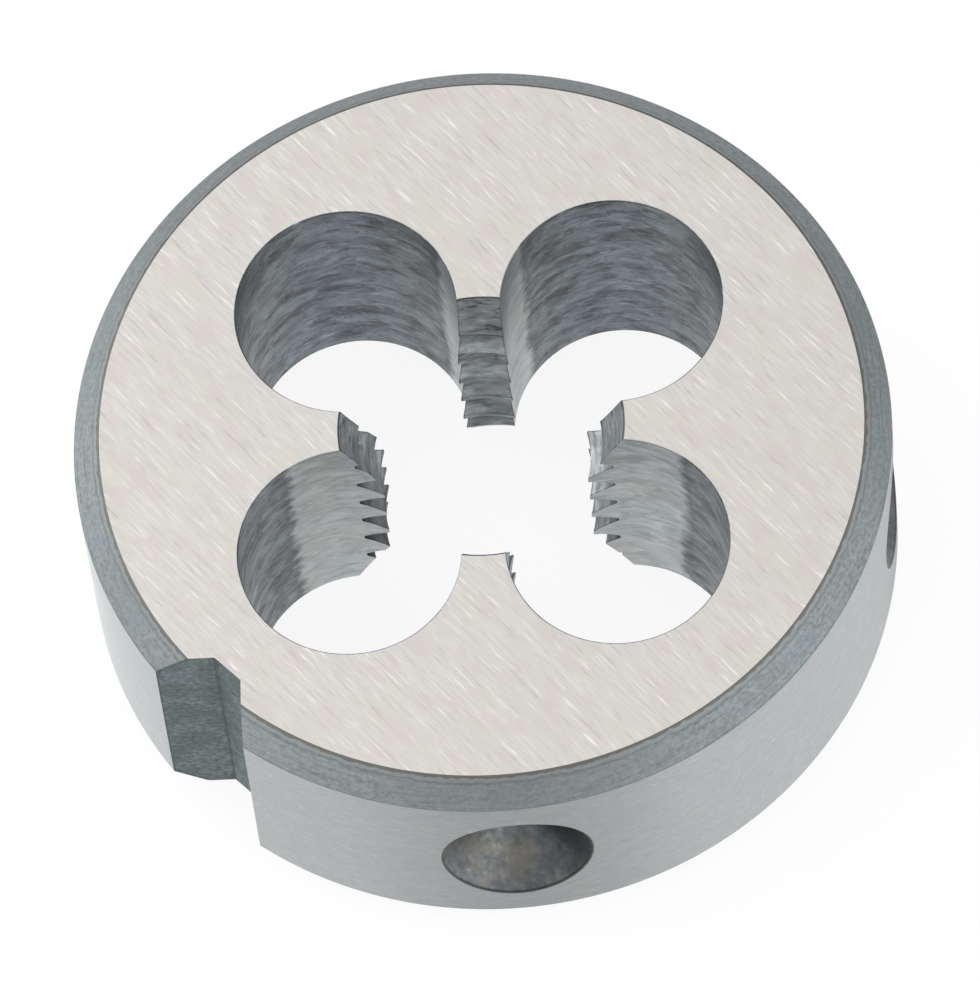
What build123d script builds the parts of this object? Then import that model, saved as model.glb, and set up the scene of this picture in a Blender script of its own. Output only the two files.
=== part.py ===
from build123d import *
import math
import os

# Round threading die for M8 x 1.25 right-hand threads: one piece of hardened
# tool steel, turned, drilled, threaded and ground.
# Frame: +Z is the die's axis. The origin is the centre of the bottom face, the
# four cutting lands lie on +X, +Y, -X and -Y, and the flutes between them.

# ---- driving dimensions, in millimetres and degrees ----
outer_dia = 25.0
thickness = 9.0
rim_chamfer = 0.8          # both rims, at 45 degrees

thread_dia = 8.0           # nominal size of the thread that the die cuts
thread_pitch = 1.25
thread_start = 0.89        # height at which the first groove crosses the middle of the +X land
lead_dia = 8.7             # mouth of the lead cone at each face
lead_angle = 50.0          # its included angle

flute_count = 4
flute_dia = 6.8            # drilled chip hole, which breaks into the bore
flute_circle_dia = 11.5    # circle of the chip holes' centres

notch_flute = 2            # the notch is in line with this flute
notch_floor_dia = 22.1
notch_floor_width = 1.1
notch_angle = 90.0         # between its two walls

dimple_dia = 5.0           # clamping dimples, half way up the rim
dimple_angle = 90.0
dimple_from_notch = 48.0   # the first pair; the other pair is as far from the opposite side

# ---- sizes that follow from them ----
outer_radius = outer_dia / 2
overcut = outer_dia / 20   # how far outside the rim its cutters start
flute_radius = flute_dia / 2
flute_circle_radius = flute_circle_dia / 2
flute_step = 360 / flute_count
notch_azimuth = (notch_flute + 0.5) * flute_step

# The teeth keep the middle of a sharp 60 degree triangle.
thread_triangle = thread_pitch * math.sqrt(3) / 2
root_radius = thread_dia / 2
crest_radius = root_radius - thread_triangle * 17 / 24
root_flat = thread_pitch / 8
flank_slope = math.tan(math.radians(30))

# ---- cutter: one stretch of the helical thread groove, across one land ----
groove_arc = flute_step * 2 / 3
groove_inner_radius = crest_radius - thread_pitch / 12
groove_mouth = root_flat + 2 * flank_slope * (root_radius - groove_inner_radius)

with BuildPart() as tooth_gap:
    with BuildLine():
        Helix(thread_pitch, thread_pitch * groove_arc / 360, root_radius)
    with BuildSketch(Plane.XZ):
        with BuildLine():
            Polyline(
                (groove_inner_radius, -groove_mouth / 2),
                (root_radius, -root_flat / 2),
                (root_radius, root_flat / 2),
                (groove_inner_radius, groove_mouth / 2),
                close=True,
            )
        make_face()
    sweep(is_frenet=True)

# ---- the die ----
with BuildPart() as threading_die:
    # the turned blank, chamfered at both rims
    with BuildSketch():
        Circle(outer_radius)
    extrude(amount=thickness)
    chamfer(threading_die.edges().filter_by(GeomType.CIRCLE), length=rim_chamfer)

    # the bore between the tooth tips, with a lead cone at both faces
    for face_plane in (Plane.XY.offset(thickness), Plane.YX):
        with Locations(face_plane):
            CounterSinkHole(crest_radius, lead_dia / 2, counter_sink_angle=lead_angle)

    # the flutes: drilled chip holes, which leave the four lands between them
    with PolarLocations(flute_circle_radius, flute_count, start_angle=flute_step / 2):
        Hole(flute_radius)

    # the teeth: the groove climbs one pitch a turn, so a share of it from land to land
    for land in range(flute_count):
        turn_share = land / flute_count - groove_arc / 720
        for turn in range(-1, math.ceil(thickness / thread_pitch) + 1):
            climb = thread_start + (turn + turn_share) * thread_pitch
            with Locations(Location((0, 0, climb), (0, 0, 360 * turn_share))):
                add(tooth_gap.part, mode=Mode.SUBTRACT)

    # the adjusting notch in the rim: a flat floor between two sloping walls
    notch_floor = notch_floor_dia / 2
    notch_outside = outer_radius + overcut
    notch_flare = (notch_outside - notch_floor) * math.tan(math.radians(notch_angle / 2))
    with BuildSketch(Plane.XY.rotated((0, 0, notch_azimuth))):
        with BuildLine():
            Polyline(
                (notch_floor, -notch_floor_width / 2),
                (notch_outside, -notch_floor_width / 2 - notch_flare),
                (notch_outside, notch_floor_width / 2 + notch_flare),
                (notch_floor, notch_floor_width / 2),
                close=True,
            )
        make_face()
    extrude(amount=thickness, mode=Mode.SUBTRACT)

    # the conical clamping dimples, two on each side of the notch
    dimple_slope = math.tan(math.radians(dimple_angle / 2))
    cutter_radius = dimple_dia / 2 + overcut * dimple_slope
    for turn in (dimple_from_notch, 180 - dimple_from_notch):
        for azimuth in (notch_azimuth + turn, notch_azimuth - turn):
            with PolarLocations(outer_radius + overcut, 1, start_angle=azimuth):
                with Locations((0, 0, thickness / 2)):
                    Cone(
                        cutter_radius,
                        0,
                        cutter_radius / dimple_slope,
                        rotation=(0, -90, 0),
                        align=(Align.CENTER, Align.CENTER, Align.MIN),
                        mode=Mode.SUBTRACT,
                    )

threading_die.part.label = "threading_die"

os.makedirs("parts", exist_ok=True)
export_step(threading_die.part, "parts/threading_die.step")
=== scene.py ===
# %% [markdown]
# # A round threading die, M8 x 1.25
# A threading die is the nut-shaped cutter that runs down a rod and leaves a thread on it.
# This one is a single piece of hardened tool steel: a thick disc with four chip holes
# (the flutes), four toothed lands between them, a notch in the rim for the set screw and
# four conical dimples for the die holder's screws.
# The lesson starts from the engineering model and keeps every size of it. It loads that
# model as a fixed frame first, before anything is added.

# %% The frame
import math

import bpy
import numpy as np
from mathutils import Matrix, Vector


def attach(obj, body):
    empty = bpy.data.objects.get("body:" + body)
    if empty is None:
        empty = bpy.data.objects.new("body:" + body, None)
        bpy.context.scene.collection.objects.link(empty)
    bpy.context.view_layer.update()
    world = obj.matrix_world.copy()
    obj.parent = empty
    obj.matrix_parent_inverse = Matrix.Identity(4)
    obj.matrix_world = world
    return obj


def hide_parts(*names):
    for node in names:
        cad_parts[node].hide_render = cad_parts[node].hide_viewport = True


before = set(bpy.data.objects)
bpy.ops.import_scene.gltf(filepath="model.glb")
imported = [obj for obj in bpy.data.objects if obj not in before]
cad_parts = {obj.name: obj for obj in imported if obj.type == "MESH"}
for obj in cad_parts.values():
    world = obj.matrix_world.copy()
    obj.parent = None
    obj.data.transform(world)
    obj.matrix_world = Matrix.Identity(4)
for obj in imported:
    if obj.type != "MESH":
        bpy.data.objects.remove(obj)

bpy.context.view_layer.update()

# %% [markdown]
# ## The sizes
# All lengths are in millimetres until the mesh is made. The frame puts the origin in the
# middle of the bottom face with +Z up. The four lands lie on +X, +Y, -X and -Y, so a flute
# is in the middle of each quadrant. Every size below is also in the engineering model.

# %% Sizes of the die
OUTER_RADIUS = 12.5
THICKNESS = 9.0
CHAMFER = 0.8
PITCH = 1.25
THREAD_START = 0.89  # height of the first groove on the +X land
ROOT_RADIUS = 4.0  # bottom of the thread grooves
ROOT_FLAT = PITCH / 8
CREST_RADIUS = ROOT_RADIUS - PITCH * math.sqrt(3) / 2 * 17 / 24
FLANK = math.tan(math.radians(30))  # axial run of a tooth flank for each mm of height
LEAD_RADIUS = 4.35  # mouth of the lead cone at each face
LEAD_SLOPE = math.tan(math.radians(25))
FLUTE_RADIUS = 3.4
FLUTE_AWAY = 5.75  # from the axis to a flute's centre
FLUTE_PLACE = FLUTE_AWAY / math.sqrt(2)
NOTCH_AZIMUTH = 225.0
NOTCH_FLOOR = 11.05  # from the axis to the flat floor
NOTCH_HALF = 0.55  # half the floor's width; the walls flare at 45 degrees
DIMPLE_DEPTH = 2.5  # a 90 degree cone, so its radius is the same
DIMPLE_TURNS = (48.0, 132.0, -48.0, -132.0)  # from the notch
EDGE_BREAK = 0.035  # the rounding that deburring leaves on an edge

print("land width", round(2 * (FLUTE_PLACE - FLUTE_RADIUS), 3),
      "crest radius", round(CREST_RADIUS, 3))

# %% [markdown]
# ## How the mesh is put together
# The CAD solid reaches Blender as coarse triangles with perfect knife edges, which no
# real edge is. So the die is made again as patches. Each is a grid of points worked out
# as whole arrays, with the true surface direction at every corner, so a flute shades as
# a cylinder and not as facets. Neighbouring patches share the points of their border.
# Merging those closes the shell, and the code counts open edges to prove it.

# %% The patch collector
patches = []
edge_lines = []


def add_patch(points, normals, finish, cells=None, turn=None):
    """Keeps one grid of points. points is (rows, columns, 3). normals has that shape too,
    or (rows - 1, 2, columns, 3) where each strip between two rows has its own directions
    at its lower and upper row. cells is a mask that leaves cells out. turn is one number
    for each point, for a finish that needs it. A face is the ring of four neighbours,
    turned round if it disagrees with its normals."""
    rows, columns = points.shape[:2]
    first = (np.arange(rows - 1)[:, None] * columns + np.arange(columns - 1)).ravel()
    quads = np.column_stack([first, first + 1, first + columns + 1, first + columns])
    if normals.ndim == 3:
        corner = normals.reshape(-1, 3)[quads]
    else:
        low, high = normals[:, 0], normals[:, 1]
        corner = np.stack([low[:, :-1], low[:, 1:], high[:, 1:], high[:, :-1]], axis=2)
        corner = corner.reshape(-1, 4, 3)
    flat = points.reshape(-1, 3)
    across = flat[quads[:, 2]] - flat[quads[:, 0]]
    along = flat[quads[:, 3]] - flat[quads[:, 1]]
    if (np.cross(across, along) * corner.sum(1)).sum() < 0:
        quads, corner = quads[:, ::-1], corner[:, ::-1]
    if cells is not None:
        quads, corner = quads[cells.ravel()], corner[cells.ravel()]
    turn = np.zeros(len(flat)) if turn is None else turn.ravel()
    patches.append((flat, quads, corner, finish, turn))


def turned(points, degrees):
    """points turned about the die's axis: x' = x cos a - y sin a, y' = x sin a + y cos a."""
    a = np.radians(degrees)
    x, y, z = points[..., 0], points[..., 1], points[..., 2]
    return np.stack([x * np.cos(a) - y * np.sin(a), x * np.sin(a) + y * np.cos(a), z], -1)


def stacked(x, y, z):
    """x, y and z as one array of points, each stretched to the widest shape."""
    return np.stack(np.broadcast_arrays(x, y, z), -1).astype(float)


def polar(radius, azimuth, z):
    """Points at a radius from the axis, an azimuth in radians and a height."""
    return stacked(radius * np.cos(azimuth), radius * np.sin(azimuth), z)


print("+X turned by 90 degrees", turned(np.array([1.0, 0.0, 0.0]), 90).round(3))

# %% [markdown]
# ## The thread on a land
# The teeth are what the tool is for: the middle part of a sharp 60 degree triangle, wound
# as a right-hand helix of 1.25 mm pitch. Both faces have a 50 degree lead cone that cuts
# the first teeth down, so the die starts on the rod little by little. A land shows only a
# short stretch of the helix, so its surface is one function: the distance from the axis
# for a height and an azimuth. The deepest of groove and cones wins.

# %% Distance from the axis
LAND_ROWS = 132  # rows of points from face to face
PROBES = 9001  # heights at which the profile is searched for kinks
BEND = 1e-5  # a second difference above this, in mm, is a kink
SAME_KINK = 0.0035  # probes no further apart than this share a kink
KINK_HALF = 0.012  # how far from a kink the rows beside it stand
FACE_ROOM = 3 * EDGE_BREAK  # kinks nearer to a face than this are left out


def land_radius(z, azimuth):
    """A groove's middle climbs one pitch a turn. From its flat bottom the surface comes in
    by 1 mm for every FLANK mm along the axis, down to the crest. A lead cone comes in from
    its mouth by LEAD_SLOPE for each mm of depth. The largest radius of the three stays."""
    turns = (z - THREAD_START) / PITCH - azimuth / 360
    off = np.abs(turns - np.round(turns)) * PITCH
    groove = np.clip(ROOT_RADIUS - (off - ROOT_FLAT / 2) / FLANK, CREST_RADIUS, ROOT_RADIUS)
    cone = LEAD_RADIUS - LEAD_SLOPE * np.minimum(z, THICKNESS - z)
    return np.maximum(groove, cone)


def land_rows(azimuth):
    """Heights of the grid's rows on one land. A row stands on each side of every kink of
    the profile, so each edge is kept and is also slightly broken. The widest gaps are
    then halved until there are LAND_ROWS rows."""
    z = np.linspace(0, THICKNESS, PROBES)
    bend = np.abs(np.diff(land_radius(z, azimuth), 2)) > BEND
    kinks = z[1:-1][bend]
    starts = np.concatenate([[True], np.diff(kinks) > SAME_KINK])
    kinks = np.array([g.mean() for g in np.split(kinks, np.nonzero(starts)[0][1:])])
    kinks = kinks[(kinks > FACE_ROOM) & (kinks < THICKNESS - FACE_ROOM)]
    rows = np.concatenate([[EDGE_BREAK, THICKNESS - EDGE_BREAK],
                           kinks - KINK_HALF, kinks + KINK_HALF])
    rows = np.unique(rows.round(5))
    while len(rows) < LAND_ROWS - 2:
        widest = np.argmax(np.diff(rows))
        rows = np.insert(rows, widest + 1, rows[widest:widest + 2].mean())
    return np.concatenate([[0], rows, [THICKNESS]])


rows_of = [land_rows(90.0 * land) for land in range(4)]
inset = np.zeros(LAND_ROWS)  # how far a row is pushed into the steel
inset[[0, -1]] = EDGE_BREAK
print("rows on each land", [len(r) for r in rows_of])

# %% [markdown]
# ## Where a land meets its flutes
# A flute is a plain drilled hole that breaks into the bore. A land is what is left between
# two of them: narrowest where the holes come closest, and wider again at the tooth tips,
# which gives its cutting edges their hook. One angle tells where a point lies on the
# hole's wall. The land's own radius decides where the wall begins, and so the toothed
# outline repeats on it.

# %% The side of a flute
CLIMB_ZONE = 0.4  # depth in mm over which a row takes up the full climb
FIRST_AZIMUTH = 0.17  # radians, a first guess near every edge
SETTLING_ROUNDS = 12


def side_point(turn, back=0.0):
    """Point and direction of a flute's wall, with the land on +X: the hole's centre
    + r (sin turn, -cos turn), so the turn is zero where the land is narrowest. back is
    how far the wall is pushed into the steel."""
    radius = FLUTE_RADIUS + back
    x = FLUTE_PLACE + radius * np.sin(turn)
    y = FLUTE_PLACE - radius * np.cos(turn)
    return x, y, -np.sin(turn), np.cos(turn)


def land_edge(radius, back=0.0):
    """Azimuth at which a circle round the axis meets the flute's wall, and the wall's turn
    there. The law of cosines gives the angle at the axis between that point and the
    hole's centre, which lies at 45 degrees."""
    hole = FLUTE_RADIUS + back
    cosine = (radius**2 + FLUTE_AWAY**2 - hole**2) / (2 * radius * FLUTE_AWAY)
    azimuth = np.pi / 4 - np.arccos(cosine)
    x, y = radius * np.cos(azimuth), radius * np.sin(azimuth)
    return azimuth, np.arctan2(x - FLUTE_PLACE, FLUTE_PLACE - y)


def climb_of(rows):
    """Height that a row gains for each radian of azimuth: a pitch a turn, less within
    CLIMB_ZONE of a face and nothing at the face itself, which is flat."""
    depth = np.minimum(rows, THICKNESS - rows)
    return np.clip(depth / CLIMB_ZONE, 0, 1) * PITCH / (2 * np.pi)


def edge_of(land, side):
    """The cutting edge on one side of a land: azimuth, height, radius and turn of each
    row. A row climbs with the helix, so azimuth, height and radius depend on each other
    and are settled by going round a few times."""
    rows = rows_of[land]
    climb = climb_of(rows)
    azimuth = np.full(LAND_ROWS, FIRST_AZIMUTH)
    for _ in range(SETTLING_ROUNDS):
        z = rows + side * climb * azimuth
        radius = land_radius(z, 90.0 * land + side * np.degrees(azimuth)) + inset
        azimuth, turn = land_edge(radius, inset)
    return side * azimuth, z, radius, turn


edges = {(land, side): edge_of(land, side) for land in range(4) for side in (-1, 1)}
print("edge of land 0 at mid height, degrees",
      np.degrees(edges[0, 1][0][LAND_ROWS // 2]).round(2))

# %% [markdown]
# ## The four lands
# Each land is a grid: 13 points across it from edge to edge, and the rows above. The rows
# follow the helix. Each strip between two rows has its own direction, so the flanks stay
# crisp while the surface still shades as a round one across the land.

# %% Lands
LAND_COLUMNS = 13
CONE_MARGIN = 0.01  # a cell this close to the lead cone, in mm, is on it


def strip_normals(points):
    """Directions of each strip of a grid: the cross product of the line along a row, from
    central differences, and the step to the next row."""
    along = np.gradient(points, axis=1)
    step = np.diff(points, axis=0)
    normals = np.stack([np.cross(along[:-1], step), np.cross(along[1:], step)], axis=1)
    return normals / np.maximum(np.linalg.norm(normals, axis=-1, keepdims=True), 1e-12)


def land_patch(land):
    """Points of one land: azimuth = share x edge azimuth, height = row + climb x azimuth,
    and the radius from land_radius."""
    rows = rows_of[land]
    share = np.linspace(-1, 1, LAND_COLUMNS)
    low, high = edges[land, -1], edges[land, 1]
    azimuth = np.where(share < 0, -share * low[0][:, None], share * high[0][:, None])
    z = rows[:, None] + climb_of(rows)[:, None] * azimuth
    radius = land_radius(z, 90.0 * land + np.degrees(azimuth)) + inset[:, None]
    return polar(radius, azimuth, z)


def face_edges_up(normals):
    """The outermost strip at each face is the edge break: its outer row looks along the
    axis and its inner row as the wall does, so it shades as a rounding."""
    normals[0, 0], normals[-1, 1] = (0, 0, -1), (0, 0, 1)
    normals[0, 1], normals[-1, 0] = normals[1, 0], normals[-2, 1]
    return normals


land_points = [land_patch(land) for land in range(4)]
for land, points in enumerate(land_points):
    normals = -strip_normals(points)
    inward = (normals[..., 0] < 0).mean() > 0.5
    normals = face_edges_up(normals if inward else -normals)
    centres = (points[:-1, :-1] + points[1:, :-1] + points[:-1, 1:] + points[1:, 1:]) / 4
    away = np.hypot(centres[..., 0], centres[..., 1])
    lead = LEAD_RADIUS - LEAD_SLOPE * np.minimum(centres[..., 2], THICKNESS - centres[..., 2])
    on_cone = (away < lead + CONE_MARGIN) & (lead > CREST_RADIUS)
    for finish, cells in (("ground_lead", on_cone), ("cut_teeth", ~on_cone)):
        add_patch(turned(points, 90 * land), turned(normals, 90 * land), finish, cells)
print("land grid", land_points[0].shape[:2])

# %% [markdown]
# ## The four flutes
# A chip hole's wall is one smooth surface. At its two ends the rows start exactly on the
# toothed edges of the two lands, and the columns take up that raggedness within half a
# millimetre. Each point also remembers how many degrees round the hole it is from the
# nearer land, because the wall beside a land is finished in another way than the rest.

# %% Flutes
MORPH = np.linspace(0, 1, 6)  # columns that take up the raggedness, as shares
MORPH_TURN = math.radians(8.4)  # turn at which the columns have become straight
DRILLED_STEPS = 60  # columns between the two straight ones
WALL_SPAN = 270  # degrees round the hole from one land to the next
EVEN_TURNS = np.linspace(MORPH_TURN, math.radians(WALL_SPAN) - MORPH_TURN, DRILLED_STEPS + 1)


def flute_patch(land):
    """Points and directions of the wall from land's far edge round to the next land's near
    edge. The turn goes from the edge's own value to MORPH_TURN, then in even steps. The
    second half is the first one with x and y swapped, which mirrors it at 45 degrees."""
    _, z_from, _, turn_from = edges[land, 1]
    _, z_to, _, turn_to = edges[(land + 1) % 4, -1]
    first = turn_from[:, None] + (MORPH_TURN - turn_from[:, None]) * MORPH
    last = turn_to[:, None] + (MORPH_TURN - turn_to[:, None]) * MORPH[::-1]
    near = EVEN_TURNS[1:DRILLED_STEPS // 2 + 1]
    far = math.radians(WALL_SPAN) - EVEN_TURNS[DRILLED_STEPS // 2 + 1:-1]
    turn_a = np.hstack([first, np.tile(near, (LAND_ROWS, 1))])
    turn_b = np.hstack([np.tile(far, (LAND_ROWS, 1)), last])
    half_a, half_b = (side_point(turn, inset[:, None]) for turn in (turn_a, turn_b))
    x, y, nx, ny = (np.hstack([half_a[k], half_b[swapped]])
                    for k, swapped in enumerate((1, 0, 3, 2)))
    share = np.linspace(0, 1, x.shape[1])
    z = z_from[:, None] * (1 - share) + z_to[:, None] * share
    normals = stacked(nx, ny, 0)
    normals[0], normals[-1] = (0, 0, -1), (0, 0, 1)
    return stacked(x, y, z), normals, np.degrees(np.maximum(np.hstack([turn_a, turn_b]), 0))


flute_points = []
for land in range(4):
    points, normals, turn = flute_patch(land)
    flute_points.append(points)
    add_patch(turned(points, 90 * land), turned(normals, 90 * land), "drilled", turn=turn)
FLUTE_COLUMNS = flute_points[0].shape[1]
print("flute grid", flute_points[0].shape[:2])

# %% [markdown]
# ## The outside profile
# The rim is turned: a flat edge of the face, a 45 degree chamfer, the rim, and the same
# again below. As a profile it is a list of radii and heights, carried round the axis. Each
# corner is cut back a little and its two points keep the directions of the surfaces they
# border, so a corner catches light as a worn edge does.

# %% Outside profile
SLANT = EDGE_BREAK / math.sqrt(2)  # the edge break measured along either axis
INNER_RIM = OUTER_RADIUS - CHAMFER
RIM_ROWS = 14
across = (CHAMFER - 2 * SLANT) * np.linspace(0, 1, 6)
upper_radius = np.concatenate([[INNER_RIM - EDGE_BREAK], INNER_RIM + SLANT + across,
                               [OUTER_RADIUS]])
upper_height = np.concatenate([[THICKNESS], THICKNESS - SLANT - across,
                               [THICKNESS - CHAMFER - EDGE_BREAK]])
rim_height = np.linspace(upper_height[-1], THICKNESS - upper_height[-1], RIM_ROWS + 1)


def notch_angle_at(radius):
    """Half the notch's width as an angle in degrees at a radius, and t. The wall is the
    line (floor + t, half + t), and t solves (floor + t)^2 + (half + t)^2 = radius^2."""
    b, c = NOTCH_FLOOR + NOTCH_HALF, NOTCH_FLOOR**2 + NOTCH_HALF**2
    t = (-b + np.sqrt(b * b - 2 * (c - np.square(radius)))) / 2
    return np.degrees(np.arctan2(NOTCH_HALF + t, NOTCH_FLOOR + t)), t


notch_top_angle = float(notch_angle_at(upper_radius[0])[0])
print("notch half angle at the face and at the rim", round(notch_top_angle, 2),
      round(float(notch_angle_at(OUTER_RADIUS)[0]), 2))

# %% [markdown]
# ## The two ground faces
# A face is flat, between the flutes' outline and the outer edge. It is ruled: a straight
# line joins each point of the inner outline to a partner on the outer one. At a land the
# lines have to leave almost straight outwards or they would cross the chip hole, so the
# partners are spread by how far round the hole a point is. Opposite the third flute, the
# partners run along the notch's walls and floor.

# %% Outline of the notch
WALL_STEPS, FLOOR_STEPS = 4, 4
wall_in = float(notch_angle_at(upper_radius[0])[1]) * np.linspace(1, 0, WALL_STEPS + 1)
floor_y = np.linspace(-NOTCH_HALF, NOTCH_HALF, FLOOR_STEPS + 1)
rise = np.concatenate([wall_in, np.zeros(FLOOR_STEPS - 1), wall_in[::-1]])
across = np.concatenate([-NOTCH_HALF - wall_in, floor_y[1:-1], NOTCH_HALF + wall_in[::-1]])
notch_line = stacked(NOTCH_FLOOR + rise, across, 0)
NOTCH_POINTS = len(notch_line)
print("points along the notch", NOTCH_POINTS)

# %% Outer partners of the inner outline
LAND_SPREAD = 2.8  # degrees on the outer edge for half a land
middle = (FLUTE_COLUMNS - 1) // 2
start_turn = float(np.degrees(edges[0, 1][3][-1]))
first_turns = start_turn + (math.degrees(MORPH_TURN) - start_turn) * MORPH[:-1]
column_turns = np.concatenate([first_turns, np.degrees(EVEN_TURNS),
                               WALL_SPAN - first_turns[::-1]])
plain = LAND_SPREAD + (90 - 2 * LAND_SPREAD) * (column_turns - start_turn) / (
    WALL_SPAN - 2 * start_turn)
notched = plain.copy()
reach = middle - NOTCH_POINTS // 2
notched[:reach + 1] = LAND_SPREAD + (45 - notch_top_angle - LAND_SPREAD) * (
    column_turns[:reach + 1] - start_turn) / (column_turns[reach] - start_turn)
notched[-reach - 1:] = 90 - notched[:reach + 1][::-1]

on_land = np.linspace(-LAND_SPREAD, LAND_SPREAD, LAND_COLUMNS)
azimuths = np.concatenate([
    90 * land + np.concatenate([on_land, (notched if land == 2 else plain)[1:-1]])
    for land in range(4)])
notch_start = 3 * LAND_COLUMNS + 2 * (FLUTE_COLUMNS - 2) + reach
notch_ids = np.arange(notch_start, notch_start + NOTCH_POINTS - 2)
outer_loop = polar(upper_radius[0], np.radians(azimuths), 0)
outer_loop[notch_ids] = turned(notch_line, NOTCH_AZIMUTH)[1:-1]
print("points round a face", len(azimuths), "of them along the notch", len(notch_ids))

# %% Faces
FACE_SHARES = np.array([0, 0.01, 0.03, 0.08, 0.18, 0.34, 0.5, 0.66, 0.82, 0.92, 0.97, 0.99, 1])


def face_patch(row):
    """Points of a face: inner x (1 - share) + outer x share, at the height of that row."""
    inner = np.vstack([np.vstack([turned(land_points[k][row], 90 * k),
                                  turned(flute_points[k][row, 1:-1], 90 * k)])
                       for k in range(4)])
    outer = outer_loop.copy()
    outer[:, 2] = inner[:, 2]
    share = FACE_SHARES[:, None, None]
    points = inner * (1 - share) + outer * share
    return np.concatenate([points, points[:, :1]], axis=1)


for row, up in ((-1, 1.0), (0, -1.0)):
    points = face_patch(row)
    add_patch(points, stacked(0 * points[..., 0], 0, up), "ground_face")
    edge_lines.append(points[0])
print("face grid", points.shape[:2])

# %% [markdown]
# ## Chamfers and rim
# The outer points of a face start the columns of the chamfer and the rim. Near the notch
# the columns lean a little, because the notch is wider at the rim than at the face. The
# four panels of the rim that hold a dimple are left open here.

# %% Chamfers and rim
LEAN_ZONE = 20.0  # degrees from the notch within which columns lean
ring = np.roll(azimuths, -(notch_ids[-1] + 1))[:len(azimuths) - len(notch_ids)]
ring = (ring - NOTCH_AZIMUTH) % 360  # from the notch's far side all the way round
from_notch = np.minimum(ring, 360 - ring)


def ring_azimuth(radius):
    """Azimuth of every column at a radius: the edge of the notch there, plus the rest of
    the column's distance scaled so that nothing moves beyond LEAN_ZONE."""
    here = notch_angle_at(radius)[0]
    leaned = here + (from_notch - notch_top_angle) * (LEAN_ZONE - here) / (
        LEAN_ZONE - notch_top_angle)
    distance = np.where(from_notch < LEAN_ZONE, leaned, from_notch)
    return NOTCH_AZIMUTH + np.where(ring < 180, distance, 360 - distance)


def carried_round(radii, heights):
    """A profile of radii and heights carried round the axis on the leaning columns."""
    azimuth = np.radians(np.array([ring_azimuth(r) for r in radii]))
    radii, heights = np.asarray(radii)[:, None], np.asarray(heights)[:, None]
    return polar(radii, azimuth, heights), azimuth


DIAGONAL = math.sqrt(0.5)  # each part of a direction that points at 45 degrees
outward = np.full(len(upper_radius), DIAGONAL)
outward[0], outward[-1] = 0, 1
upward = outward[::-1]
for flip in (1, -1):
    heights = upper_height if flip == 1 else THICKNESS - upper_height
    points, azimuth = carried_round(upper_radius, heights)
    normals = polar(outward[:, None], azimuth, flip * upward[:, None])
    add_patch(points, normals, "hardened_chamfer")
    for radius, height in ((INNER_RIM, THICKNESS), (OUTER_RADIUS, THICKNESS - CHAMFER)):
        line, _ = carried_round([radius], [height if flip == 1 else THICKNESS - height])
        edge_lines.append(line[0])

rim_points, rim_azimuth = carried_round(np.full(RIM_ROWS + 1, OUTER_RADIUS), rim_height)
rim_azimuth = rim_azimuth[0]
print("rim grid", rim_points.shape[:2])

# %% [markdown]
# ## The clamping dimples
# A dimple is a 90 degree countersink, 2.5 mm deep, made in the round rim, so its mouth is
# not a circle but the saddle-shaped curve where a cone meets a cylinder. Its panel is a
# polar grid: each line starts on that curve, found by halving an interval, and ends on
# one point of the panel's border, so the panel fits the rim without a seam. Inside, the
# same lines run down to the cone's tip.

# %% Mouth of a dimple
TIP_RADIUS = OUTER_RADIUS - DIMPLE_DEPTH
NEAREST_MOUTH, FARTHEST_MOUTH = 1.0, 3.5  # mm, the interval that is halved
HALVINGS = 45


def mouth_distance(direction):
    """Distance on the unrolled rim from a dimple's middle to its mouth. At azimuth a off
    the middle, cone and rim meet where v^2 + (R sin a)^2 = (R cos a - tip)^2."""
    low = np.full(len(direction), NEAREST_MOUTH)
    high = np.full(len(direction), FARTHEST_MOUTH)
    for _ in range(HALVINGS):
        half = (low + high) / 2
        a, v = half * np.cos(direction) / OUTER_RADIUS, half * np.sin(direction)
        x, y = OUTER_RADIUS * np.cos(a), OUTER_RADIUS * np.sin(a)
        outside = v**2 + y**2 > (x - TIP_RADIUS)**2
        low, high = np.where(outside, low, half), np.where(outside, half, high)
    return (low + high) / 2


def on_rim(along, up, middle_azimuth):
    """A point of the unrolled rim wrapped back: azimuth = middle + along / radius."""
    a = middle_azimuth + along / OUTER_RADIUS
    return polar(OUTER_RADIUS, a, THICKNESS / 2 + up), polar(1, a, 0)


mouth_sizes = mouth_distance(np.array([0.0, np.pi / 2]))
print("dimple mouth half width and half height", mouth_sizes.round(3))

# %% Dimples
SHADED_SIDE = math.radians(30)  # where a dimple's cone is painted dark as shade, up from the rim's +azimuth
PANEL_HALF = math.radians(12.9)  # from the dimple's middle to its panel's side
LIP = 1.4 * EDGE_BREAK  # how far the mouth is broken back on the rim
PANEL_SHARES = np.array([0, 0.1, 0.28, 0.52, 0.76, 1.0])
CONE_SHARES = np.array([0.03, 0.12, 0.3, 0.52, 0.74, 0.9, 1.0])
open_cells = np.ones((RIM_ROWS, len(ring) - 1), bool)


def panel_border(left, right):
    """Azimuths and heights once round a panel of the rim, back to the start: along the
    top from the right, down the left side, along the bottom and up the right side."""
    across, side = rim_azimuth[left:right + 1], rim_height[1:-1]
    top, bottom = np.full(len(across), rim_height[0]), np.full(len(across), rim_height[-1])
    azimuth = np.concatenate([across[::-1], np.full(len(side), across[0]),
                              across, np.full(len(side), across[-1]), across[-1:]])
    return azimuth, np.concatenate([top, side, bottom, side[::-1], top[:1]])


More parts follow.
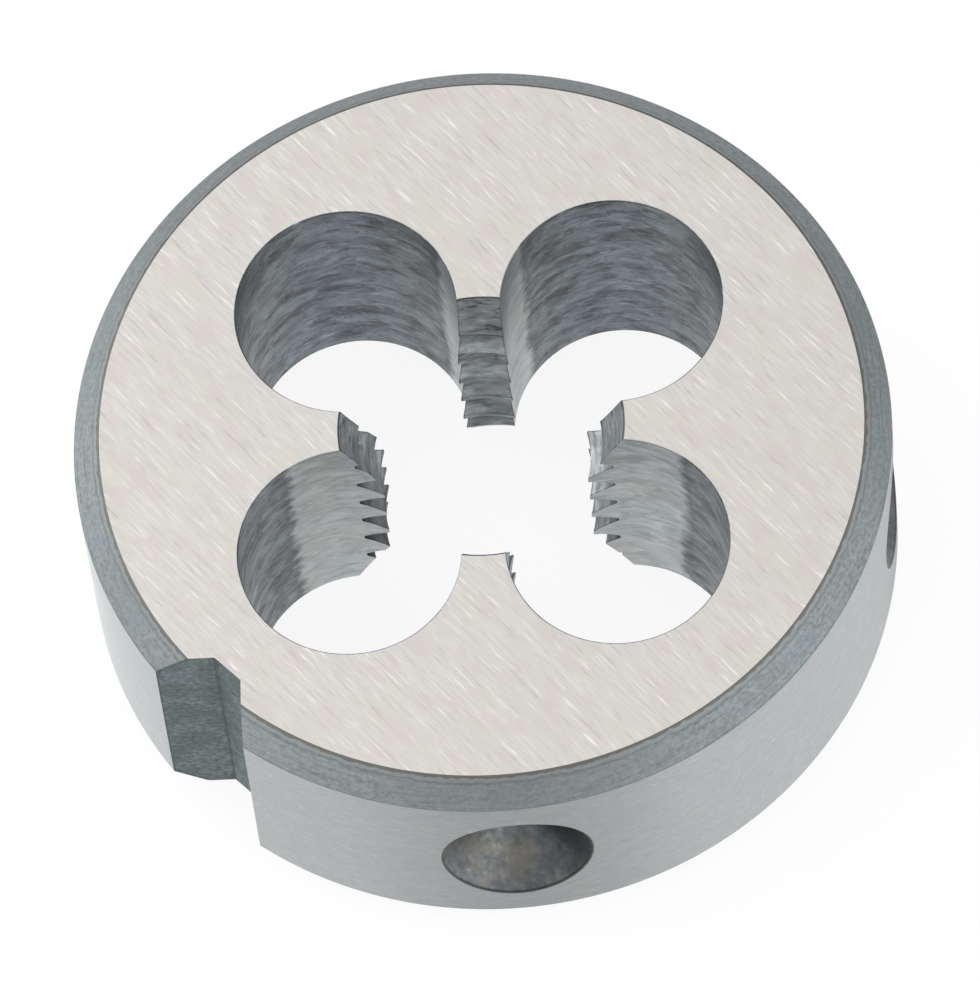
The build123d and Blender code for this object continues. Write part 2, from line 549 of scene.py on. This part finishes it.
for turn in DIMPLE_TURNS:
    centre = math.radians(NOTCH_AZIMUTH + (turn % 360))
    left = int(np.argmin(np.abs(rim_azimuth - (centre - PANEL_HALF))))
    right = int(np.argmin(np.abs(rim_azimuth - (centre + PANEL_HALF))))
    open_cells[:, left:right] = False
    border_azimuth, border_height = panel_border(left, right)
    along, up = (border_azimuth - centre) * OUTER_RADIUS, border_height - THICKNESS / 2
    direction, distance = np.arctan2(up, along), np.hypot(along, up)
    mouth = mouth_distance(direction)
    line = np.vstack([mouth + LIP + (distance - mouth - LIP) * s for s in PANEL_SHARES])
    panel, panel_normals = on_rim(line * np.cos(direction), line * np.sin(direction), centre)
    add_patch(panel, panel_normals, "ground_rim")
    lip, _ = on_rim(mouth * np.cos(direction), mouth * np.sin(direction), centre)
    edge_lines.append(lip)
    tip = turned(np.array([TIP_RADIUS, 0, THICKNESS / 2]), math.degrees(centre))
    cone = lip + (tip - lip) * CONE_SHARES[:, None, None]
    local = turned(lip - tip, -math.degrees(centre))
    outwards = np.hypot(local[:, 1], local[:, 2])
    cone_normal = turned(stacked(DIAGONAL, -DIAGONAL * local[:, 1] / outwards,
                                 -DIAGONAL * local[:, 2] / outwards), math.degrees(centre))
    # angle of each line from the side of the cone that is painted dark as shade
    away = np.abs(np.degrees(direction - SHADED_SIDE))
    away = np.repeat(np.minimum(away, 360 - away)[None], len(cone), axis=0)
    add_patch(cone, np.repeat(cone_normal[None], len(cone), axis=0), "countersunk", turn=away)
    add_patch(np.stack([panel[0], cone[0]]), np.stack([panel_normals[0], cone_normal]),
              "countersunk")
rim_normals = polar(1, rim_azimuth, np.zeros((RIM_ROWS + 1, 1)))
add_patch(rim_points, rim_normals, "ground_rim", open_cells)
print("lines from a dimple's mouth to its panel's border", len(direction) - 1)

# %% [markdown]
# ## The adjusting notch
# The set screw of the holder presses into this notch. It is milled through the full
# height: a flat floor and two walls at 45 degrees. A wall's upper edge follows the rim
# profile, so its columns stand at the profile's own radii and the chamfer fits it.

# %% Notch
wall_t = np.concatenate([wall_in[::-1], notch_angle_at(upper_radius[1:])[1]])
wall_top = np.concatenate([np.full(WALL_STEPS + 1, THICKNESS), upper_height[1:]])
level = np.linspace(0, 1, RIM_ROWS + 1)[:, None]
for side in (-1, 1):
    height = THICKNESS - wall_top + (2 * wall_top - THICKNESS) * level
    points = stacked(NOTCH_FLOOR + wall_t, side * (NOTCH_HALF + wall_t), height)
    normals = stacked(DIAGONAL + 0 * height, -side * DIAGONAL, 0)
    add_patch(turned(points, NOTCH_AZIMUTH), turned(normals, NOTCH_AZIMUTH), "milled_notch")
    border = points[0], points[-1], points[:, 0], points[:, -1]
    edge_lines += [turned(line, NOTCH_AZIMUTH) for line in border]
points = stacked(NOTCH_FLOOR, floor_y, THICKNESS * level)
normals = stacked(1.0, 0 * floor_y, 0 * level)
add_patch(turned(points, NOTCH_AZIMUTH), turned(normals, NOTCH_AZIMUTH), "milled_notch")
edge_lines += [turned(points[row], NOTCH_AZIMUTH) for row in (0, -1)]
for (land, side), (azimuth, z, radius, _) in edges.items():
    edge_lines.append(turned(polar(radius, azimuth, z), 90 * land))
print("patches", len(patches))

# %% [markdown]
# ## One closed shell
# The patches are joined: points that coincide become one, cells that shrank to a line or a
# triangle lose the doubled corner, and every edge has to be used once in each direction.
# Points coincide when they round to the same key. The keys are shifted a little, so that
# round sizes don't fall between two keys. A positive volume says that the faces look
# outwards. It should equal the CAD solid's.

# %% Merge the patches
KEYS_PER_MM = 1e5
KEY_SHIFT = 0.3717
FINISHES = ["ground_face", "ground_rim", "hardened_chamfer", "milled_notch", "countersunk",
            "drilled", "ground_lead", "cut_teeth"]
starts = np.cumsum([0] + [len(p[0]) for p in patches])
all_points = np.vstack([p[0] for p in patches])
all_quads = np.vstack([p[1] + start for p, start in zip(patches, starts)])
all_normals = np.vstack([p[2] for p in patches])
all_finish = np.concatenate([np.full(len(p[1]), FINISHES.index(p[3])) for p in patches])

keys = np.floor(all_points * KEYS_PER_MM + KEY_SHIFT).astype(np.int64)
_, first_of, merged = np.unique(keys, axis=0, return_index=True, return_inverse=True)
merged = merged.ravel()
verts = all_points[first_of]
turn_deg = np.zeros(len(verts))
np.maximum.at(turn_deg, merged, np.concatenate([p[4] for p in patches]))
corners = merged[all_quads]
kept = corners != np.roll(corners, -1, axis=1)
whole = kept.sum(1) > 2
corners, kept, face_finish = corners[whole], kept[whole], all_finish[whole]
sizes = kept.sum(1)
loops = corners[kept]
loop_normals = all_normals[whole][kept]
loop_starts = np.concatenate([[0], np.cumsum(sizes)[:-1]])
print("vertices", len(verts), "faces", len(sizes))

# %% Check the shell
next_loop = np.arange(len(loops)) + 1
next_loop[loop_starts + sizes - 1] = loop_starts
ends = loops[next_loop]
there, back = loops * len(verts) + ends, ends * len(verts) + loops
open_edges = int((~np.isin(there, back)).sum())
doubled_edges = len(there) - len(np.unique(there))
a, b, c, d = (verts[corners[:, k]] for k in range(4))
volume = (a * (np.cross(b, c) + np.cross(c, d))).sum() / 6
print("open edges", open_edges, "doubled edges", doubled_edges,
      "volume mm3", round(float(volume), 2))

# %% [markdown]
# ## How near the edges are
# Scale flakes off at an edge and burrs shine there, and several finishes draw thin painted
# shadow lines along edges, so the finishes need each point's distance to the nearest edge.
# It is worked out with whole arrays and kept on the mesh in millimetres.

# %% Distance to the nearest edge
BLOCK = 1500  # points worked out at once, to keep the arrays small
NO_LENGTH = 1e-8  # segments with a smaller square are left out, in mm2


def distance_to_lines(points, lines):
    """For each point the least distance to the lines' segments: the foot of the
    perpendicular is at share = (p - a).(b - a) / |b - a|^2, kept between 0 and 1."""
    a = np.vstack([line[:-1] for line in lines]).astype(np.float32)
    d = np.vstack([np.diff(line, axis=0) for line in lines]).astype(np.float32)
    length2 = np.einsum("ij,ij->i", d, d)
    long = length2 > NO_LENGTH
    a, d, length2 = a[long], d[long], length2[long]
    nearest = []
    for block in np.array_split(points.astype(np.float32), len(points) // BLOCK + 1):
        along = block @ d.T - np.einsum("ij,ij->i", a, d)
        share = np.clip(along / length2, 0, 1)
        square = (np.square(block).sum(1)[:, None] + np.square(a).sum(1) - 2 * block @ a.T
                  - 2 * share * along + share**2 * length2)
        nearest.append(np.sqrt(np.maximum(square.min(1), 0)))
    return np.concatenate(nearest)


edge_distance = distance_to_lines(verts, edge_lines)
print("edge segments", sum(len(line) - 1 for line in edge_lines), "nearest and farthest mm",
      edge_distance.min().round(3), edge_distance.max().round(2))

# %% [markdown]
# ## From arrays to a mesh
# A mesh is filled from arrays in a few calls, much faster than face by face. It gets its
# own directions at its faces' corners, so no shading is guessed, and four numbers at each
# point for the finishes. The piece rides on the only body and replaces the CAD solid.

# %% The mesh
MM = 0.001


def placed(name, data):
    """A new object that shows data, linked to the scene."""
    made = bpy.data.objects.new(name, data)
    bpy.context.scene.collection.objects.link(made)
    return made


mesh = bpy.data.meshes.new("die_body")
mesh.vertices.add(len(verts))
mesh.vertices.foreach_set("co", (verts * MM).astype(np.float32).ravel())
mesh.loops.add(len(loops))
mesh.loops.foreach_set("vertex_index", loops.astype(np.int32))
mesh.polygons.add(len(sizes))
mesh.polygons.foreach_set("loop_start", loop_starts.astype(np.int32))
mesh.polygons.foreach_set("material_index", face_finish.astype(np.int32))
mesh.polygons.foreach_set("use_smooth", np.ones(len(sizes), bool))
mesh.update(calc_edges=True)
changed = mesh.validate(verbose=False)
from_face = np.minimum(verts[:, 2], THICKNESS - verts[:, 2])
from_axis = np.hypot(verts[:, 0], verts[:, 1])
for attribute_name, values in (("edge_mm", edge_distance), ("turn_deg", turn_deg),
                               ("face_mm", from_face), ("radius_mm", from_axis)):
    mesh.attributes.new(attribute_name, "FLOAT", "POINT").data.foreach_set(
        "value", values.astype(np.float32))
mesh.normals_split_custom_set(loop_normals.astype(np.float32))
die = placed("die_body", mesh)
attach(die, "root")
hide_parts("threading_die")
print("mesh", len(mesh.vertices), "vertices", len(mesh.polygons), "faces",
      "changed by validate:", changed)

# %% [markdown]
# ## Tools for the finishes
# Every finish is steel, and they differ by colour, by gloss and by the marks of a tool. A
# mark is a noise pattern whose grains have a size in millimetres, long the way the tool
# moved. A finish starts from one colour, a hex code made linear, and lays others over it,
# each where a pattern or a distance lies in a range.

# %% Tools
materials = {}


def srgb(code):
    """Linear red, green, blue and alpha of a hex colour: c / 12.92 for the darkest, else
    ((c + 0.055) / 1.055) ** 2.4."""
    c = np.array([int(code[k:k + 2], 16) / 255 for k in (1, 3, 5)])
    linear = np.where(c <= 0.04045, c / 12.92, ((c + 0.055) / 1.055) ** 2.4)
    return (*[float(v) for v in linear], 1.0)


def add(tree, kind, inputs=None, **settings):
    """Adds a node. settings are its properties. inputs are its sockets, by name or number,
    each a value or another node's output to link."""
    made = tree.nodes.new("ShaderNode" + kind)
    for key, value in settings.items():
        setattr(made, key, value)
    for key, value in (inputs or {}).items():
        if isinstance(value, bpy.types.NodeSocket):
            tree.links.new(value, made.inputs[key])
        else:
            made.inputs[key].default_value = value
    return made


def grain(tree, size, turn=0.0, detail=2.0, rough=0.55, warp=0.0):
    """A noise pattern whose grains measure size = (x, y, z) millimetres, turned about Z.
    Returns its 0 to 1 value."""
    place = add(tree, "TexCoord")
    moved = add(tree, "Mapping", {
        "Vector": place.outputs["Object"], "Rotation": (0, 0, math.radians(turn))})
    scaled = add(tree, "Mapping", {
        "Vector": moved.outputs[0], "Scale": tuple(1000 / s for s in size)})
    noise = add(tree, "TexNoise", {
        "Vector": scaled.outputs[0], "Scale": 1.0, "Detail": detail, "Roughness": rough,
        "Distortion": warp})
    return noise.outputs[0]


def layers(tree, colour, rows):
    """Lays colours over the first one. A row is (value, low, high, share, over): over is
    laid not at all where value is at low, and by share where it is at high. In a colour
    Mix, socket 0 is the share, 6 and 7 are the two colours, and output 2 is the mixture."""
    for value, low, high, share, over in rows:
        amount = add(tree, "MapRange", {
            "Value": value, "From Min": low, "From Max": high, "To Max": share})
        under, over = (srgb(c) if isinstance(c, str) else c for c in (colour, over))
        colour = add(tree, "Mix", {0: amount.outputs[0], 6: under, 7: over},
                     data_type="RGBA").outputs[2]
    return colour


def steel(patch_finish, name):
    """The node tree of a new metallic material for the patches with that finish."""
    material = materials[patch_finish] = bpy.data.materials.new(name)
    material.use_nodes = True
    shader = material.node_tree.nodes["Principled BSDF"]
    shader.inputs["Metallic"].default_value = 1.0
    return material.node_tree


def dress(tree, colour, relief, depth_mm, dull, bright):
    """Gives the shader its colour, a relief depth_mm deep, and a roughness that runs from
    dull in the relief's valleys to bright on its ridges."""
    shader = tree.nodes["Principled BSDF"]
    gloss = add(tree, "MapRange", {
        "Value": relief, "From Min": 0.3, "From Max": 0.7, "To Min": dull, "To Max": bright})
    bump = add(tree, "Bump", {"Height": relief, "Distance": depth_mm / 1000})
    tree.links.new(colour, shader.inputs["Base Color"])
    tree.links.new(gloss.outputs[0], shader.inputs["Roughness"])
    tree.links.new(bump.outputs[0], shader.inputs["Normal"])
    print("nodes in this finish", len(tree.nodes))


print("a middle grey is", round(srgb("#808080")[0], 4))

# %% [markdown]
# ## Ground face: surface-ground high speed steel
# Both faces are finished on a surface grinder after hardening. The wheel crosses the face
# in straight lines, so all its marks run one way, a millimetre or two long and finer than
# a tenth of a millimetre wide. The steel is bright, a warm pale grey, softly clouded, with
# a few short bright scratches.

# %% Ground face
GRIND_TURN = 48.7  # degrees from +X towards -Y of the wheel's path
tree = steel("ground_face", "ground_tool_steel_face")
fine = grain(tree, (0.9, 0.09, 1), GRIND_TURN)
stripe = grain(tree, (5.0, 0.35, 1), GRIND_TURN, detail=3.0)
cloud = grain(tree, (1.1, 0.6, 1), GRIND_TURN)
tint = grain(tree, (2.6, 1.6, 1), GRIND_TURN + 25)
streak = grain(tree, (1.3, 0.11, 1), GRIND_TURN, warp=0.2)
base = layers(tree, "#CBC8C3", [
    (fine, 0.32, 0.68, 1.0, "#D8D6D2"),
    (tint, 0.48, 0.64, 0.6, "#D0CEC0"),
    (cloud, 0.48, 0.66, 0.8, "#D0C7C5"),
    (stripe, 0.35, 0.65, 0.3, "#C4C1BD"),
    (streak, 0.6, 0.74, 0.75, "#F0EEE8"),
    (streak, 0.4, 0.28, 0.6, "#B4B0AA")])
dress(tree, base, fine, 0.0008, 0.46, 0.38)

# %% [markdown]
# ## Ground rim: cylindrically ground steel
# The rim is ground while the die turns, so its marks run round it. They scatter light up
# and down but hardly sideways, which is why such a rim shows broad upright bands of light
# and dark. The shader's anisotropy does that: its stretched gloss stands across the marks.

# %% Ground rim
tree = steel("ground_rim", "ground_tool_steel_rim")
fine = grain(tree, (0.6, 0.6, 0.08))
band = grain(tree, (1.4, 1.4, 0.3))
speck = grain(tree, (0.2, 0.2, 0.08))
base = layers(tree, "#A8ABAC", [
    (fine, 0.32, 0.68, 1.0, "#B4B6B6"),
    (band, 0.4, 0.62, 0.5, "#A8AEAE"),
    (speck, 0.62, 0.74, 0.7, "#CCCDCB"),
    (speck, 0.36, 0.26, 0.6, "#969A9B")])
dress(tree, base, fine, 0.0008, 0.52, 0.48)
shader = tree.nodes["Principled BSDF"]
shader.inputs["Anisotropic"].default_value = 0.95
shader.inputs["Anisotropic Rotation"].default_value = 0.25

# %% [markdown]
# ## Hardened chamfer: turned steel with its heat-treatment skin
# The chamfer was turned before hardening and never ground, so it keeps the thin grey-blue
# skin of the furnace: matt, finely pitted, cooler and darker than ground steel. Along the
# face's edge painted bands stand in for light: a dark brownish line, the shadow of the
# grinding burr, then a lighter line, the highlight of the broken edge, then a darker band.

# %% Hardened chamfer
tree = steel("hardened_chamfer", "hardened_tool_steel_chamfer")
mottle = grain(tree, (0.16, 0.16, 0.1), detail=3.0, rough=0.65)
cloud = grain(tree, (1.4, 1.4, 1.4))
turned_marks = grain(tree, (1.2, 1.2, 0.06))
speck = grain(tree, (0.1, 0.1, 0.1), detail=1.0)
depth = add(tree, "Attribute", attribute_name="face_mm").outputs["Fac"]
wander = add(tree, "Math", {0: grain(tree, (0.3, 0.3, 0.3), detail=3.0), 1: 0.16, 2: depth},
             operation="MULTIPLY_ADD").outputs[0]
base = layers(tree, "#757B7D", [
    (mottle, 0.33, 0.67, 1.0, "#8C9294"),
    (cloud, 0.38, 0.62, 0.5, "#7F888A"),
    (turned_marks, 0.55, 0.68, 0.4, "#949A9C"),
    (turned_marks, 0.42, 0.3, 0.5, "#656B6D"),
    (speck, 0.68, 0.8, 0.4, "#A0A6A8"),
    (speck, 0.32, 0.2, 0.5, "#5C6366"),
    # painted shadow and highlight: dark, light and dark bands below the face's edge
    (wander, 0.3, 0.25, 0.5, "#5F6566"),
    (wander, 0.25, 0.2, 0.7, "#8E9394"),
    (wander, 0.15, 0.12, 0.9, "#666661")])
dress(tree, base, mottle, 0.002, 0.58, 0.46)

# %% [markdown]
# ## Milled notch: hardened steel, milled and left dark
# The notch was milled before hardening. It is the darkest outside surface, a blue-green
# grey with bright specks and small pits, and it is drawn darker in a thin line along its edges.

# %% Milled notch
tree = steel("milled_notch", "hardened_tool_steel_notch")
mottle = grain(tree, (0.2, 0.2, 0.14), detail=3.0, rough=0.7)
cloud = grain(tree, (1.1, 1.1, 0.7))
speck = grain(tree, (0.13, 0.13, 0.13), rough=0.6)
edge = add(tree, "Attribute", attribute_name="edge_mm").outputs["Fac"]
# the notch is drawn darker in a thin line along its edges
darker_edge = add(tree, "Math", {0: mottle, 1: 0.06, 2: edge}, operation="MULTIPLY_ADD").outputs[0]
base = layers(tree, "#576362", [
    (mottle, 0.33, 0.67, 1.0, "#7C8B8F"),
    (cloud, 0.44, 0.6, 0.6, "#55605F"),
    (speck, 0.6, 0.74, 0.6, "#8F9999"),
    (speck, 0.38, 0.26, 0.7, "#414A48"),
    (darker_edge, 0.12, 0.05, 0.6, "#4A5152")])
dress(tree, base, mottle, 0.003, 0.58, 0.46)

# %% [markdown]
# ## Countersunk dimples: drilled cones in the rim
# A pointed drill makes a dimple. Heat has stained its steel brown in patches, and one side
# of the cone is painted nearly black as shade. The mouth has a thin bright ring where it was
# deburred. The painted shade is laid by the angle from that side, which is kept on the mesh.

# %% Countersunk dimple
tree = steel("countersunk", "countersunk_tool_steel")
stain = grain(tree, (1.0, 1.0, 0.8), detail=3.0)
mottle = grain(tree, (0.2, 0.2, 0.3), detail=3.0, rough=0.6)
edge = add(tree, "Attribute", attribute_name="edge_mm").outputs["Fac"]
turn = add(tree, "Attribute", attribute_name="turn_deg").outputs["Fac"]
# painted shade: one side of the cone is drawn nearly black, by the angle from that side
painted_shade = add(tree, "Math", {0: stain, 1: 60.0, 2: turn}, operation="MULTIPLY_ADD").outputs[0]
base = layers(tree, "#64686A", [
    (mottle, 0.33, 0.67, 1.0, "#7F8284"),
    (stain, 0.48, 0.62, 0.5, "#857F73"),
    (mottle, 0.62, 0.72, 0.4, "#A09E96"),
    (painted_shade, 185.0, 75.0, 0.95, "#2B2F31"),
    (edge, 0.07, 0.03, 0.8, "#B9BCBA")])
dress(tree, base, mottle, 0.002, 0.52, 0.42)

# %% [markdown]
# ## Drilled flute, with its ground flanks
# The drill leaves marks that run round the hole, slightly wavy, and hardening turned them
# dark blue-grey. Beside each land the wall is ground again after hardening, which makes
# the cutting edge keen and the steel bright. The grinding wheel runs out about 35 degrees
# round the hole, at a ragged border.

# %% Drilled flute
tree = steel("drilled", "drilled_tool_steel_flute")
wave = grain(tree, (0.9, 0.9, 0.34), rough=0.6, warp=0.8)
pitted = grain(tree, (0.17, 0.17, 0.13), detail=3.0, rough=0.6)
scratch = grain(tree, (0.45, 0.45, 0.09), warp=0.8)
cloud = grain(tree, (1.8, 1.8, 0.7), detail=3.0, warp=0.5)
brown = grain(tree, (2.5, 2.5, 3.0), detail=1.0)
dark = layers(tree, "#555B60", [
    (wave, 0.34, 0.66, 1.0, "#7E858A"),
    (cloud, 0.46, 0.62, 0.7, "#7E858A"),
    (cloud, 0.48, 0.36, 0.6, "#4C5257"),
    (pitted, 0.58, 0.74, 0.6, "#969C9F"),
    (pitted, 0.42, 0.28, 0.7, "#464C50"),
    (scratch, 0.64, 0.74, 0.8, "#A6ACAE"),
    (scratch, 0.36, 0.27, 0.8, "#33393C")])
bright = layers(tree, "#A3AAAD", [
    (wave, 0.34, 0.66, 1.0, "#B6BBBD"),
    (brown, 0.45, 0.65, 0.5, "#ADABA6"),
    (pitted, 0.58, 0.76, 0.4, "#C8CBCB"),
    (scratch, 0.6, 0.74, 0.6, "#D4D7D5"),
    (scratch, 0.36, 0.26, 0.5, "#868C8F")])
turn = add(tree, "Attribute", attribute_name="turn_deg").outputs["Fac"]
wide = add(tree, "Math", {0: grain(tree, (2.0, 2.0, 4.0), detail=1.0), 1: 14.0, 2: turn},
           operation="MULTIPLY_ADD").outputs[0]
ragged = add(tree, "Math", {0: grain(tree, (0.5, 0.5, 0.3), detail=3.0), 1: 14.0, 2: wide},
             operation="MULTIPLY_ADD").outputs[0]
base = layers(tree, dark, [
    (ragged, 55.0, 49.0, 0.8, "#5C6367"),
    (ragged, 51.0, 46.0, 1.0, bright)])
dress(tree, base, wave, 0.010, 0.5, 0.36)

# %% [markdown]
# ## Lead cone: ground after hardening
# The lead cone is ground with a small cone-shaped wheel, because its edges are the ones
# that cut. The wheel's marks run round the cone as coarse light and dark streaks on a mid
# grey, and a thin painted shadow of the grinding burr follows the cone's edges.

# %% Lead cone
tree = steel("ground_lead", "ground_tool_steel_lead")
streak = grain(tree, (0.7, 0.7, 0.16), detail=3.0, rough=0.65, warp=0.6)
cloud = grain(tree, (0.9, 0.9, 0.5))
edge = add(tree, "Attribute", attribute_name="edge_mm").outputs["Fac"]
base = layers(tree, "#8A9094", [
    (streak, 0.36, 0.64, 1.0, "#C8CCCE"),
    (cloud, 0.42, 0.6, 0.5, "#989EA2"),
    (streak, 0.6, 0.72, 0.8, "#E4E6E6"),
    (streak, 0.42, 0.3, 0.9, "#45494B"),
    # painted shadow: a thin dark line along the cone's edges, for the burr's shadow
    (edge, 0.05, 0.015, 0.5, "#5A5E60")])
dress(tree, base, streak, 0.006, 0.58, 0.48)

# %% [markdown]
# ## Cut teeth: thread flanks as the tap left them
# The thread was tapped in the soft steel. Its flanks are torn a little along the cut and
# hardened to a mid grey. Painted shade darkens the roots, and a thin painted shadow of the
# burrs runs along the edges.

# %% Cut teeth
tree = steel("cut_teeth", "tapped_tool_steel_teeth")
tear = grain(tree, (0.7, 0.7, 0.1), detail=3.0, rough=0.6, warp=0.3)
cloud = grain(tree, (0.6, 0.6, 0.5))
edge = add(tree, "Attribute", attribute_name="edge_mm").outputs["Fac"]
radius = add(tree, "Attribute", attribute_name="radius_mm").outputs["Fac"]
speck = grain(tree, (0.12, 0.12, 0.08), detail=1.0)
base = layers(tree, "#70767A", [
    (tear, 0.34, 0.66, 1.0, "#A8AEB1"),
    (cloud, 0.4, 0.6, 0.5, "#8C8F8D"),
    # painted shade: the roots, farthest from the axis, are drawn darker
    (radius, 3.62, 3.98, 0.75, "#3A3F41"),
    (speck, 0.71, 0.79, 0.8, "#BCC0C0"),
    # painted shadow: a thin dark line along the edges, for the burrs' shadow
    (edge, 0.05, 0.015, 0.6, "#4A4E50")])
dress(tree, base, tear, 0.004, 0.6, 0.5)

for name in FINISHES:
    mesh.materials.append(materials[name])
print("finishes", [m.name for m in mesh.materials])

# %% [markdown]
# ## Floor
# The die stands on a plain white paper floor. It takes shadows as paper does, but the
# camera and the metal see it mixed with a plain white of its own, so it stays clean and
# pale from every side.

# %% Floor
FLOOR_CORNERS = (-3, -3, 0), (3, -3, 0), (3, 3, 0), (-3, 3, 0)  # metres
SHOWN_WHITE = 0.9  # share of plain white that the eye and metal see
floor_mesh = bpy.data.meshes.new("floor")
floor_mesh.from_pydata(FLOOR_CORNERS, [], [(0, 1, 2, 3)])
floor = placed("floor", floor_mesh)
paper = bpy.data.materials.new("white_paper_floor")
paper.use_nodes = True
tree = paper.node_tree
tree.nodes.clear()
ray = add(tree, "LightPath").outputs
mirrored = add(tree, "Math", {0: ray["Is Glossy Ray"], 1: ray["Is Transmission Ray"]},
               operation="MAXIMUM")
seen = add(tree, "Math", {0: ray["Is Camera Ray"], 1: mirrored.outputs[0]}, operation="MAXIMUM")
share = add(tree, "Math", {0: seen.outputs[0], 1: SHOWN_WHITE}, operation="MULTIPLY")
sheet = add(tree, "BsdfDiffuse", {"Color": (0.95, 0.95, 0.95, 1)})
white = add(tree, "Emission", {"Color": (1, 1, 1, 1), "Strength": 1.0})
mixed = add(tree, "MixShader", {0: share.outputs[0], 1: sheet.outputs[0], 2: white.outputs[0]})
add(tree, "OutputMaterial", {"Surface": mixed.outputs[0]})
floor_mesh.materials.append(paper)
print("floor nodes", len(tree.nodes))

# %% [markdown]
# ## Light
# Bright steel mirrors whatever is round it, so it needs large soft lamps and an even sky.
# The left softbox draws the bright left part of the rim and gives the shadow its side.
# The left fill and the right softbox keep the other sides even, and the weak top softbox
# lifts the face.

# %% Light
LAMP_DISTANCE = 0.8  # metres from the die
world = bpy.data.worlds.new("soft_studio")
bpy.context.scene.world = world
world.use_nodes = True
sky = world.node_tree.nodes["Background"]
sky.inputs["Color"].default_value = (1, 1, 1, 1)
sky.inputs["Strength"].default_value = 0.65


def soft_lamp(name, azimuth, elevation, width, height, radiance):
    """A rectangular area lamp on a sphere round the die, facing it. It shines with that
    radiance when its power is radiance x pi x width x height."""
    a, e = math.radians(azimuth), math.radians(elevation)
    place = Vector((math.cos(a) * math.cos(e), math.sin(a) * math.cos(e), math.sin(e)))
    lamp = bpy.data.lights.new(name, "AREA")
    lamp.shape, lamp.size, lamp.size_y = "RECTANGLE", width, height
    lamp.energy = radiance * math.pi * width * height
    made = placed(name, lamp)
    made.location = place * LAMP_DISTANCE
    made.rotation_euler = place.to_track_quat("Z", "Y").to_euler()
    print(name, "watts", round(lamp.energy, 3))


soft_lamp("left_softbox", 152, 32, 0.6, 0.95, 2.45)
soft_lamp("left_fill", -146, 32, 1.0, 0.95, 0.95)
soft_lamp("right_softbox", -22, 32, 1.24, 0.95, 1.15)
soft_lamp("top_softbox", 95, 66, 0.7, 0.7, 0.3)

# %% [markdown]
# ## Camera
# A long lens looks down steeply from the front, a few degrees from the left, and is rolled
# a little. The plain colour transform shows the colours as they are written.

# %% Camera
CAMERA_AZIMUTH, CAMERA_ELEVATION, CAMERA_ROLL = 5.19, 64.36, -6.99  # degrees
CAMERA_DISTANCE = 0.36869  # metres
CAMERA_LENS, CAMERA_SENSOR = 439.6, 36.0  # mm
CAMERA_RANGE = 0.01, 20.0  # metres, what lies between is drawn
CAMERA_TARGET = Vector((0.0000357, -0.0000430, 0.0044779))
a, e = math.radians(CAMERA_AZIMUTH), math.radians(CAMERA_ELEVATION)
behind = Vector((math.sin(a) * math.cos(e), -math.cos(a) * math.cos(e), math.sin(e)))
camera = placed("camera", bpy.data.cameras.new("camera"))
camera.data.lens, camera.data.sensor_width = CAMERA_LENS, CAMERA_SENSOR
camera.data.clip_start, camera.data.clip_end = CAMERA_RANGE
facing = behind.to_track_quat("Z", "Y").to_matrix() @ Matrix.Rotation(
    math.radians(CAMERA_ROLL), 3, "Z")
place = CAMERA_TARGET + behind * CAMERA_DISTANCE
camera.matrix_world = Matrix.Translation(place) @ facing.to_4x4()
bpy.context.scene.camera = camera
bpy.context.scene.view_settings.view_transform = "Standard"
print("camera at", [round(c, 4) for c in place], "metres")

# %% Update the scene
bpy.context.view_layer.update()
